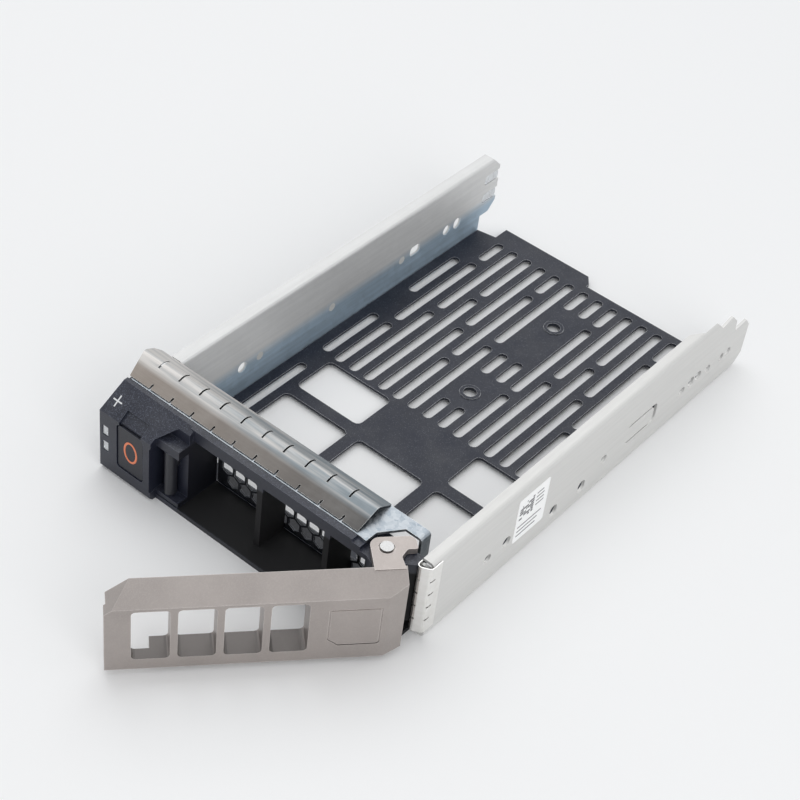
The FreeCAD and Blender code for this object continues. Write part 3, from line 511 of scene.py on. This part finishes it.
@dataclass(frozen=True)
class MouldedPlastic(Finish):
    """Spark-eroded plastic: a fine even texture, with painted glints in flecks, strongest on faces that
    look up.
    """

    painted_glint: Colour = (0.25, 0.28, 0.36)
    texture: float = 0.00003
    flecks: float = 0.5
    shade: PaintedShade | None = None

    def dress(self, graph: Graph, shader: bpy.types.Node) -> None:
        """Cover the plastic with texture, flecks of painted glint and faint edges lightened by wear and
        painted highlight, with painted shade in openings where set.
        """
        grain = graph.noise(graph.place(), 2600.0, 3.0, 0.6)
        cloud = graph.cloud(60.0, 4.0)
        light = tuple(min(1.0, 1.25 * part) for part in self.colour)
        colour = graph.blend(cloud, self.colour, light)
        # Painted glint: light flecks in the colour, strongest on faces that look up.
        fleck = use_group(graph, FINE_FLECK, Scale=6500.0, Rarity=0.8)
        upward = graph.spread(graph.facing(), 0.0, 0.7, 0.15, 1.0)
        painted_glint = graph.maths("MULTIPLY", fleck.outputs["Mask"], graph.maths("MULTIPLY", upward, self.flecks))
        colour = graph.blend(painted_glint, colour, self.painted_glint)
        # Edges lightened toward the glint colour: partly wear, partly painted highlight.
        wear_and_highlight = use_group(graph, EDGE_WEAR_AND_HIGHLIGHT, Radius=0.0002, Break=0.6)
        colour = graph.blend(graph.maths("MULTIPLY", wear_and_highlight.outputs["Mask"], 0.5), colour, self.painted_glint)
        dust = use_group(graph, SETTLED_DUST, Amount=0.08)
        colour = graph.blend(dust.outputs["Mask"], colour, DUST_ON_PLASTIC)
        rough = graph.spread(grain, 0.3, 0.7, self.roughness * 0.88, self.roughness * 1.1)
        # Painted shade: the inside of the openings is coloured near black and made rougher.
        if self.shade is not None:
            outer = self.shade.outside(graph)
            colour = graph.blend(outer, self.shade.colour, colour)
            rough = graph.maths("MAXIMUM", rough, graph.spread(outer, 0.0, 1.0, self.shade.roughness, 0.0))
        graph.feed(shader.inputs["Base Color"], colour)
        graph.feed(shader.inputs["Roughness"], rough)
        self.bump(graph, shader, grain, self.texture, 0.6)


@dataclass(frozen=True)
class PewterPaint(Finish):
    """Metallic paint on a cast part, with fine flakes, edges lighter from wear and painted highlight, and
    painted shade on the windows' floors.
    """

    flake: Colour = (0.62, 0.57, 0.54)
    edge: Colour = (0.78, 0.74, 0.71)
    # Painted shade on the windows' floors: its colour and the height below which it lies.
    window_floor_shade: Colour = (0.13, 0.12, 0.115)
    window_floor_shade_top: Span = (0.0095, 0.0105)
    metallic: float = 0.75

    def dress(self, graph: Graph, shader: bpy.types.Node) -> None:
        """Scatter flakes in the paint, lighten its edges for wear and painted highlight, and paint shade on
        the windows' floors.
        """
        fleck = use_group(graph, FINE_FLECK, Scale=5200.0, Rarity=0.55)
        cloud = graph.cloud(70.0, 5.0)
        deep = tuple(0.9 * part for part in self.colour)
        colour = graph.blend(cloud, deep, self.colour)
        colour = graph.blend(graph.maths("MULTIPLY", fleck.outputs["Mask"], 0.12), colour, self.flake)
        # Bright edges: partly wear, partly painted highlight.
        wear_and_highlight = use_group(graph, EDGE_WEAR_AND_HIGHLIGHT, Radius=0.0003, Break=0.25)
        colour = graph.blend(wear_and_highlight.outputs["Mask"], colour, self.edge)
        # Painted shade: faces that look up, low on the handle, are darkened.
        level = graph.spread(graph.facing(), 0.5, 0.9, 0.0, 1.0)
        low = graph.spread(graph.split(graph.place())[2], *self.window_floor_shade_top, 1.0, 0.0)
        shaded_floor = graph.maths("MULTIPLY", level, low)
        colour = graph.blend(shaded_floor, colour, self.window_floor_shade)
        graph.feed(shader.inputs["Base Color"], colour)
        shader.inputs["Metallic"].default_value = self.metallic
        peel = graph.noise(graph.place(), 1800.0, 2.0)
        graph.feed(shader.inputs["Roughness"],
                   graph.spread(peel, 0.3, 0.7, self.roughness * 0.9, self.roughness * 1.12))
        self.bump(graph, shader, peel, 0.000006, 0.5)


@dataclass(frozen=True)
class ClearLight(Finish):
    """Clear moulded light pipe, a little cloudy."""

    def dress(self, graph: Graph, shader: bpy.types.Node) -> None:
        """Let some light through and cloud the rest."""
        cloud = graph.spread(graph.noise(graph.place(), 70.0, 2.0), 0.3, 0.7, 0.0, 1.0)
        pale = tuple(min(1.0, 1.1 * part) for part in self.colour)
        graph.feed(shader.inputs["Base Color"], graph.blend(cloud, self.colour, pale))
        shader.inputs["Transmission Weight"].default_value = 0.35
        shader.inputs["IOR"].default_value = 1.49
        graph.feed(shader.inputs["Roughness"],
                   graph.spread(cloud, 0.0, 1.0, self.roughness, self.roughness * 1.6))


@dataclass(frozen=True)
class Print(Finish):
    """Ink, paint fill or paper: a flat tone broken by fine fibres."""

    fibre: float = 0.08

    def dress(self, graph: Graph, shader: bpy.types.Node) -> None:
        """Vary the tone a little over fine noise."""
        fibres = graph.noise(graph.place(), 3000.0, 4.0)
        deep = tuple(part * (1.0 - self.fibre) for part in self.colour)
        graph.feed(shader.inputs["Base Color"], graph.blend(fibres, deep, self.colour))
        graph.feed(shader.inputs["Roughness"],
                   graph.spread(fibres, 0.2, 0.8, self.roughness * 0.9, self.roughness * 1.1))
        self.bump(graph, shader, fibres, 0.000004, 0.3)


PLATE_COAT = CoatedSheet("plate_coat", (0.011, 0.014, 0.027), 0.42, edge=(0.72, 0.73, 0.76))
GRILLE_COAT = CoatedSheet("grille_coat", (0.012, 0.013, 0.018), 0.5)
# The left rail's low inner face carries a painted reflection of the dark plate, in bluish tones.
RAIL_LEFT = SheetMetal(
    "rail_left_zinc", (0.66, 0.66, 0.655), 0.5, (0.74, 0.74, 0.735), Grain.ALONG_Y, spangle=0.3,
    foot=(0.45, 0.57, 0.68), foot_edge=(0.0105, 0.0145), metallic=0.45, line_depth=0.0000015,
)
RAIL_RIGHT = SheetMetal(
    "rail_right_zinc", (0.66, 0.655, 0.64), 0.5, (0.69, 0.685, 0.67), Grain.ALONG_Y,
    metallic=0.5, line_depth=0.0000012,
)
BRACKET_ZINC = SheetMetal(
    "bracket_spangled_zinc", (0.26, 0.3, 0.34), 0.36, (0.5, 0.53, 0.56), Grain.NONE,
    spangle=0.85, spangle_scale=900.0,
)
# The top gasket carries painted shading across its top and painted shade on its front slope.
GASKET_PLATE = SheetMetal(
    "gasket_plated_sheet", (0.56, 0.54, 0.52), 0.46, (0.22, 0.25, 0.27), Grain.ALONG_X, side_shift=0.5,
    front=(0.27, 0.238, 0.212), front_far=(0.1, 0.097, 0.096), front_edge=(-0.0885, -0.0865),
    line_depth=0.0000015,
)
SIDE_GASKET_PLATE = SheetMetal(
    "side_gasket_plated_sheet", (0.8, 0.79, 0.76), 0.34, (0.86, 0.85, 0.83), Grain.ALONG_X,
)
SCREW_STEEL = SheetMetal("screw_steel", (0.5, 0.5, 0.5), 0.35, (0.62, 0.62, 0.62), Grain.NONE)
SPRING_WIRE = SheetMetal("spring_wire", (0.45, 0.45, 0.46), 0.3, (0.6, 0.6, 0.6), Grain.NONE)
PIN_STEEL = SheetMetal(
    "pin_bright_steel", (0.42, 0.42, 0.42), 0.3, (0.5, 0.5, 0.5), Grain.NONE,
    line_scale=2500.0, line_depth=0.000002,
)
# The bezel carries painted shade inside its bays.
BEZEL_PLASTIC = MouldedPlastic(
    "bezel_black_plastic", (0.012, 0.014, 0.025), 0.4, flecks=0.4, shade=PaintedShade(),
)
BUTTON_PLASTIC = MouldedPlastic("button_black_plastic", (0.008, 0.009, 0.015), 0.42, flecks=0.2)
CATCH_PLASTIC = MouldedPlastic("catch_black_plastic", (0.018, 0.019, 0.024), 0.36, flecks=0.2)
GUIDE_PLASTIC = MouldedPlastic("guide_dark_plastic", (0.03, 0.03, 0.03), 0.5, flecks=0.1)
CLIP_PLASTIC = MouldedPlastic("clip_grey_plastic", (0.55, 0.55, 0.53), 0.45, (0.7, 0.7, 0.7), flecks=0.1)
HANDLE_PAINT = PewterPaint("handle_pewter_paint", (0.41, 0.37, 0.35), 0.38)
PIPE_CLEAR = ClearLight("clear_light_pipe", (0.86, 0.88, 0.9), 0.22)
LABEL_PAPER = Print("label_paper", (0.97, 0.97, 0.97), 0.5, 0.03)
LABEL_INK = Print("label_ink", (0.16, 0.16, 0.17), 0.5)
RING_PAINT = Print("ring_orange_fill", (0.86, 0.24, 0.11), 0.42)
MARK_PAINT = Print("mark_white_fill", (0.78, 0.79, 0.8), 0.45)

NODE_FINISH: dict[str, Finish] = {
    "base_plate": PLATE_COAT,
    "left_rail": RAIL_LEFT,
    "right_rail": RAIL_RIGHT,
    "front_bracket": BRACKET_ZINC,
    "bracket_rivets": SCREW_STEEL,
    "bezel_screws": SCREW_STEEL,
    "air_grille": GRILLE_COAT,
    "front_bezel": BEZEL_PLASTIC,
    "top_gasket": GASKET_PLATE,
    "side_gasket": SIDE_GASKET_PLATE,
    "latch_handle": HANDLE_PAINT,
    "hinge_pin": PIN_STEEL,
    "handle_spring": SPRING_WIRE,
    "release_button": BUTTON_PLASTIC,
    "button_spring": SPRING_WIRE,
    "button_guide": GUIDE_PLASTIC,
    "latch_catch": CATCH_PLASTIC,
    "catch_guide_pin": PIN_STEEL,
    "catch_spring": SPRING_WIRE,
    "lower_light_pipe": PIPE_CLEAR,
    "upper_light_pipe": PIPE_CLEAR,
    "light_pipe_clips": CLIP_PLASTIC,
    "rail_label": LABEL_PAPER,
}


class Workshop:
    """Keeps one material of each finish and hands it out."""

    def __init__(self) -> None:
        """Start with no material made."""
        self.made: dict[str, bpy.types.Material] = {}

    def material(self, finish: Finish) -> bpy.types.Material:
        """Return the material of a finish, made once."""
        if finish.name not in self.made:
            self.made[finish.name] = finish.material()
        return self.made[finish.name]

    def dress_nodes(self) -> None:
        """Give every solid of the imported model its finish."""
        for name, finish in NODE_FINISH.items():
            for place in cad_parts[name].material_slots:
                place.material = self.material(finish)
            LOG.info("node %s has finish %s", name, finish.name)

    def piece(self, name: str, mesh: bpy.types.Mesh, finish: Finish, body: Body) -> bpy.types.Object:
        """Make a finished piece of the object and set it on its body.

        Args:
            name: name of the piece.
            mesh: its mesh, in the place where it belongs.
            finish: its finish.
            body: the body that it rides on.

        Returns:
            The new object.
        """
        made = bpy.data.objects.new(name, mesh)
        bpy.context.scene.collection.objects.link(made)
        mesh.materials.append(self.material(finish))
        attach(made, body.value)
        LOG.info("piece %s on %s, %d faces", name, body.value, len(mesh.polygons))
        return made


# Meshes


def closed_tube_mesh(name: str, points: np.ndarray) -> bpy.types.Mesh:
    """Make a mesh from a grid of points that closes on itself both ways.

    Each face joins a point with the next one round the path and the next one round the
    section, and the last joins the first.

    Args:
        name: name of the mesh.
        points: array of path steps by section steps by 3.

    Returns:
        The mesh.
    """
    along, around = points.shape[:2]
    numbers = np.arange(along * around).reshape(along, around)
    ahead = np.roll(numbers, -1, axis=0)
    faces = np.stack(
        [numbers, ahead, np.roll(ahead, -1, axis=1), np.roll(numbers, -1, axis=1)], axis=-1,
    ).reshape(-1, 4)
    mesh = bpy.data.meshes.new(name)
    mesh.from_pydata(points.reshape(-1, 3).tolist(), [], faces.tolist())
    mesh.update()
    mesh.shade_smooth()
    return mesh


def raised_outline_mesh(name: str, outline: np.ndarray, centre: np.ndarray,
                        lift: np.ndarray) -> bpy.types.Mesh:
    """Make a thin raised shape from a flat outline.

    The top is a fan of triangles from the centre to the outline moved by lift, the bottom the
    same without it, and the wall joins both.

    Args:
        name: name of the mesh.
        outline: array of points by 3, counter-clockwise seen from outside.
        centre: the point that the fans start from.
        lift: vector from the bottom to the top.

    Returns:
        The mesh.
    """
    count = len(outline)
    verts = np.vstack([outline, outline + lift, centre[None], centre[None] + lift])
    here = np.arange(count)
    after = np.roll(here, -1)
    bottom = np.stack([after, here, np.full(count, 2 * count)], axis=1)
    top = np.stack([here + count, after + count, np.full(count, 2 * count + 1)], axis=1)
    wall = np.stack([here, after, after + count, here + count], axis=1)
    mesh = bpy.data.meshes.new(name)
    mesh.from_pydata(verts.tolist(), [], bottom.tolist() + top.tolist() + wall.tolist())
    mesh.update()
    return mesh


def plates_mesh(name: str, low: np.ndarray, high: np.ndarray) -> bpy.types.Mesh:
    """Make a mesh of many thin square-cornered plates.

    Every corner of a plate takes each coordinate from its low or its high corner.

    Args:
        name: name of the mesh.
        low: array of plates by 3, the lowest corners.
        high: array of plates by 3, the highest corners.

    Returns:
        The mesh.
    """
    picks = np.array([[x, y, z] for z in (0, 1) for y in (0, 1) for x in (0, 1)])
    verts = np.where(picks[None] == 1, high[:, None], low[:, None]).reshape(-1, 3)
    cube = np.array([[0, 2, 3, 1], [4, 5, 7, 6], [0, 1, 5, 4], [2, 6, 7, 3], [0, 4, 6, 2], [1, 3, 7, 5]])
    faces = (np.arange(len(low))[:, None, None] * 8 + cube[None]).reshape(-1, 4)
    mesh = bpy.data.meshes.new(name)
    mesh.from_pydata(verts.tolist(), [], faces.tolist())
    mesh.update()
    return mesh


# Pieces


@dataclass
class ButtonRing:
    """The painted oval ring that is inlaid in the button's face."""

    half_width: float = 2.75 * MM
    half_height: float = 4.0 * MM
    line: float = 0.75 * MM
    proud: float = 0.12 * MM
    steps: int = 96
    section: int = 10

    def mesh(self) -> bpy.types.Mesh:
        """Work out the ring: an oval path with a flat oval section carried along it.

        Returns:
            The ring's mesh.
        """
        low, high = (np.array(corner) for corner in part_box("release_button"))
        x = (low[0] + high[0]) / 2
        z = (low[2] + high[2]) / 2
        u = np.linspace(0.0, 2 * math.pi, self.steps, endpoint=False)[:, None]
        v = np.linspace(0.0, 2 * math.pi, self.section, endpoint=False)[None]
        out = (self.line / 2) * np.cos(v)
        face = low[1]
        grid = np.empty((self.steps, self.section, 3))
        grid[..., 0] = x + (self.half_width - self.line / 2 + out) * np.cos(u)
        grid[..., 1] = face - self.proud * np.sin(v) + 0 * u
        grid[..., 2] = z + (self.half_height - self.line / 2 + out) * np.sin(u)
        return closed_tube_mesh("button_ring", grid)

    def build(self, workshop: Workshop) -> None:
        """Set the ring on the button."""
        workshop.piece("button_ring", self.mesh(), RING_PAINT, Body.BUTTON)


@dataclass
class StatusMark:
    """The small white cross on the bezel's slope."""

    x: float = -55.3 * MM
    along: float = 5.0 * MM
    arm_x: float = 1.7 * MM
    arm_up: float = 1.9 * MM
    stroke: float = 0.22 * MM
    proud: float = 0.06 * MM
    foot_y: float = -103.4 * MM
    foot_z: float = 23.0 * MM
    slope_run: float = 9.0 * MM
    slope_rise: float = 6.6 * MM

    def mesh(self) -> bpy.types.Mesh:
        """Work out the cross: twelve corners in the slope's own plane, lifted off it.

        Returns:
            The cross's mesh.
        """
        length = math.hypot(self.slope_run, self.slope_rise)
        up = np.array([0.0, self.slope_run, self.slope_rise]) / length
        out = np.array([0.0, -self.slope_rise, self.slope_run]) / length
        across = np.array([1.0, 0.0, 0.0])
        s, a, b = self.stroke, self.arm_x, self.arm_up
        flat = np.array([
            [s, -b], [s, -s], [a, -s], [a, s], [s, s], [s, b],
            [-s, b], [-s, s], [-a, s], [-a, -s], [-s, -s], [-s, -b],
        ])
        centre = np.array([self.x, self.foot_y, self.foot_z]) + up * self.along - out * self.proud / 2
        outline = centre + flat[:, :1] * across + flat[:, 1:] * up
        return raised_outline_mesh("status_mark", outline, centre, out * self.proud)

    def build(self, workshop: Workshop) -> None:
        """Set the mark on the bezel."""
        workshop.piece("status_mark", self.mesh(), MARK_PAINT, Body.TRAY)


@dataclass
class LabelPrint:
    """Plain fields of ink on the rail's label, at shares of its width and height."""

    left: float = 0.08
    code_split: float = 0.5
    code_right: float = 0.52
    code_foot: float = 0.5
    code_rows: int = 7
    code_pitch: float = 0.055
    code_bar: float = 0.04
    side_left: float = 0.6
    side_ends: Span = (0.78, 0.92)
    side_foot: float = 0.56
    side_rows: int = 4
    side_pitch: float = 0.09
    side_line: float = 0.023
    lower_ends: Span = (0.7, 0.92)
    lower_foot: float = 0.12
    lower_rows: int = 3
    lower_pitch: float = 0.1
    lower_line: float = 0.025
    least: float = 0.02
    proud: float = 0.03 * MM
    seed: int = 7

    def fields(self) -> np.ndarray:
        """Choose the fields: a block of short bars, lines beside it and lines under it.

        Returns:
            Array of fields by 4: the start and the foot, then the end and the top.
        """
        random = np.random.default_rng(self.seed)
        rows = []
        for step in range(self.code_rows):
            foot = self.code_foot + step * self.code_pitch
            cuts = np.sort(random.uniform(self.left, self.code_split, 4))
            for start, end in ((self.left, cuts[0]), (cuts[1], cuts[2]), (cuts[3], self.code_right)):
                rows.append((start, foot, end, foot + self.code_bar))
        for step in range(self.side_rows):
            foot = self.side_foot + step * self.side_pitch
            rows.append((self.side_left, foot, random.uniform(*self.side_ends), foot + self.side_line))
        for step in range(self.lower_rows):
            foot = self.lower_foot + step * self.lower_pitch
            rows.append((self.left, foot, random.uniform(*self.lower_ends), foot + self.lower_line))
        return np.array([row for row in rows if row[2] - row[0] > self.least])

    def mesh(self) -> bpy.types.Mesh:
        """Work out the print: thin plates where the fields lie on the label.

        Returns:
            The mesh of the inked fields.
        """
        low, high = (np.array(corner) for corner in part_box("rail_label"))
        size = high[1:] - low[1:]
        share = self.fields()
        behind = np.full((len(share), 1), high[0] - self.proud)
        before = np.full((len(share), 1), high[0] + self.proud)
        start = low[1:] + share[:, :2] * size
        end = low[1:] + share[:, 2:] * size
        return plates_mesh("label_print", np.hstack([behind, start]), np.hstack([before, end]))

    def build(self, workshop: Workshop) -> None:
        """Set the print on the label."""
        workshop.piece("label_print", self.mesh(), LABEL_INK, Body.TRAY)


# Studio


@dataclass
class Studio:
    """Pale floor, soft lamps and an even sky."""

    floor_half: float = 3.0
    floor_rear: Colour = (0.91, 0.912, 0.915)
    floor_front: Colour = (0.96, 0.96, 0.96)
    floor_change: Span = (-0.3, 0.35)
    sky: float = 0.68
    sky_seen: float = 0.9
    lamps: tuple[tuple[str, Place, float, float], ...] = field(default=(
        ("overhead", (-0.5, 0.5, 1.3), 1.4, 6.0),
        ("right_side", (1.2, -0.6, 0.8), 1.0, 5.0),
    ))

    def floor(self) -> None:
        """Lay the floor under the part."""
        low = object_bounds()[0][2]
        half = self.floor_half
        mesh = bpy.data.meshes.new("studio_floor")
        corners = [(-half, -half, low), (half, -half, low), (half, half, low), (-half, half, low)]
        mesh.from_pydata(corners, [], [(0, 1, 2, 3)])
        ground = bpy.data.objects.new("studio_floor", mesh)
        bpy.context.scene.collection.objects.link(ground)
        paint = bpy.data.materials.new("studio_floor")
        paint.use_nodes = True
        graph = Graph(paint.node_tree)
        shader = next(n for n in paint.node_tree.nodes if n.type == "BSDF_PRINCIPLED")
        back = graph.spread(graph.split(graph.place())[1], *self.floor_change, 0.0, 1.0)
        graph.feed(shader.inputs["Base Color"], graph.blend(back, self.floor_front, self.floor_rear))
        shader.inputs["Roughness"].default_value = 0.7
        shader.inputs["Specular IOR Level"].default_value = 0.2
        mesh.materials.append(paint)
        ground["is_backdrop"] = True

    def light(self) -> None:
        """Hang the lamps and set the sky."""
        for name, place, size, power in self.lamps:
            lamp = bpy.data.lights.new(name, "AREA")
            lamp.size = size
            lamp.energy = power
            holder = bpy.data.objects.new(name, lamp)
            bpy.context.scene.collection.objects.link(holder)
            holder.location = place
            holder.rotation_euler = (-Vector(place)).to_track_quat("-Z", "Y").to_euler()
        world = bpy.data.worlds.new("studio_sky")
        bpy.context.scene.world = world
        world.use_nodes = True
        graph = Graph(world.node_tree)
        backdrop = next(n for n in world.node_tree.nodes if n.type == "BACKGROUND")
        path = graph.add("ShaderNodeLightPath")
        seen = graph.maths("MAXIMUM", path.outputs["Is Camera Ray"], path.outputs["Is Glossy Ray"])
        seen = graph.maths("MAXIMUM", seen, path.outputs["Is Transmission Ray"])
        graph.feed(backdrop.inputs["Strength"], graph.spread(seen, 0.0, 1.0, self.sky, self.sky_seen))
        backdrop.inputs["Color"].default_value = (0.97, 0.985, 1.0, 1.0)

    def build(self) -> None:
        """Set up the floor and the light."""
        self.floor()
        self.light()
        scene = bpy.context.scene
        scene.view_settings.view_transform = "Standard"
        LOG.info("studio with %d lamps", len(self.lamps))


@dataclass
class Camera:
    """The camera at the photograph's place and turn."""

    place: Place = (0.22810, -0.37123, 0.39105)
    azimuth: float = 34.3734
    elevation: float = 42.2977
    roll: float = 7.8385
    lens: float = 82.8655
    sensor: float = 36.0

    def build(self) -> None:
        """Set up the camera: its axes follow from azimuth, elevation and roll."""
        azimuth, elevation, roll = (math.radians(a) for a in (self.azimuth, self.elevation, self.roll))
        flat = math.cos(elevation)
        ahead = Vector((-math.sin(azimuth) * flat, math.cos(azimuth) * flat, -math.sin(elevation)))
        level = ahead.cross(Vector((0.0, 0.0, 1.0))).normalized()
        raised = level.cross(ahead)
        right = level * math.cos(roll) + raised * math.sin(roll)
        up = right.cross(ahead)
        turn = Matrix((right, up, -ahead)).transposed()
        lens = bpy.data.cameras.new("photo_camera")
        lens.lens = self.lens
        lens.sensor_width = self.sensor
        lens.sensor_fit = "HORIZONTAL"
        lens.clip_start = 0.01
        holder = bpy.data.objects.new("photo_camera", lens)
        bpy.context.scene.collection.objects.link(holder)
        holder.matrix_world = Matrix.Translation(self.place) @ turn.to_4x4()
        bpy.context.scene.camera = holder
        LOG.info("camera at %s", self.place)


def main() -> None:
    """Dress the solids, add the pieces, and set up studio and camera."""
    logging.basicConfig(level=logging.INFO, format="%(name)s: %(message)s")
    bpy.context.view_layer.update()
    workshop = Workshop()
    workshop.dress_nodes()
    for maker in (ButtonRing(), StatusMark(), LabelPrint()):
        maker.build(workshop)
    Studio().build()
    Camera().build()


if __name__ == "__main__":
    main()
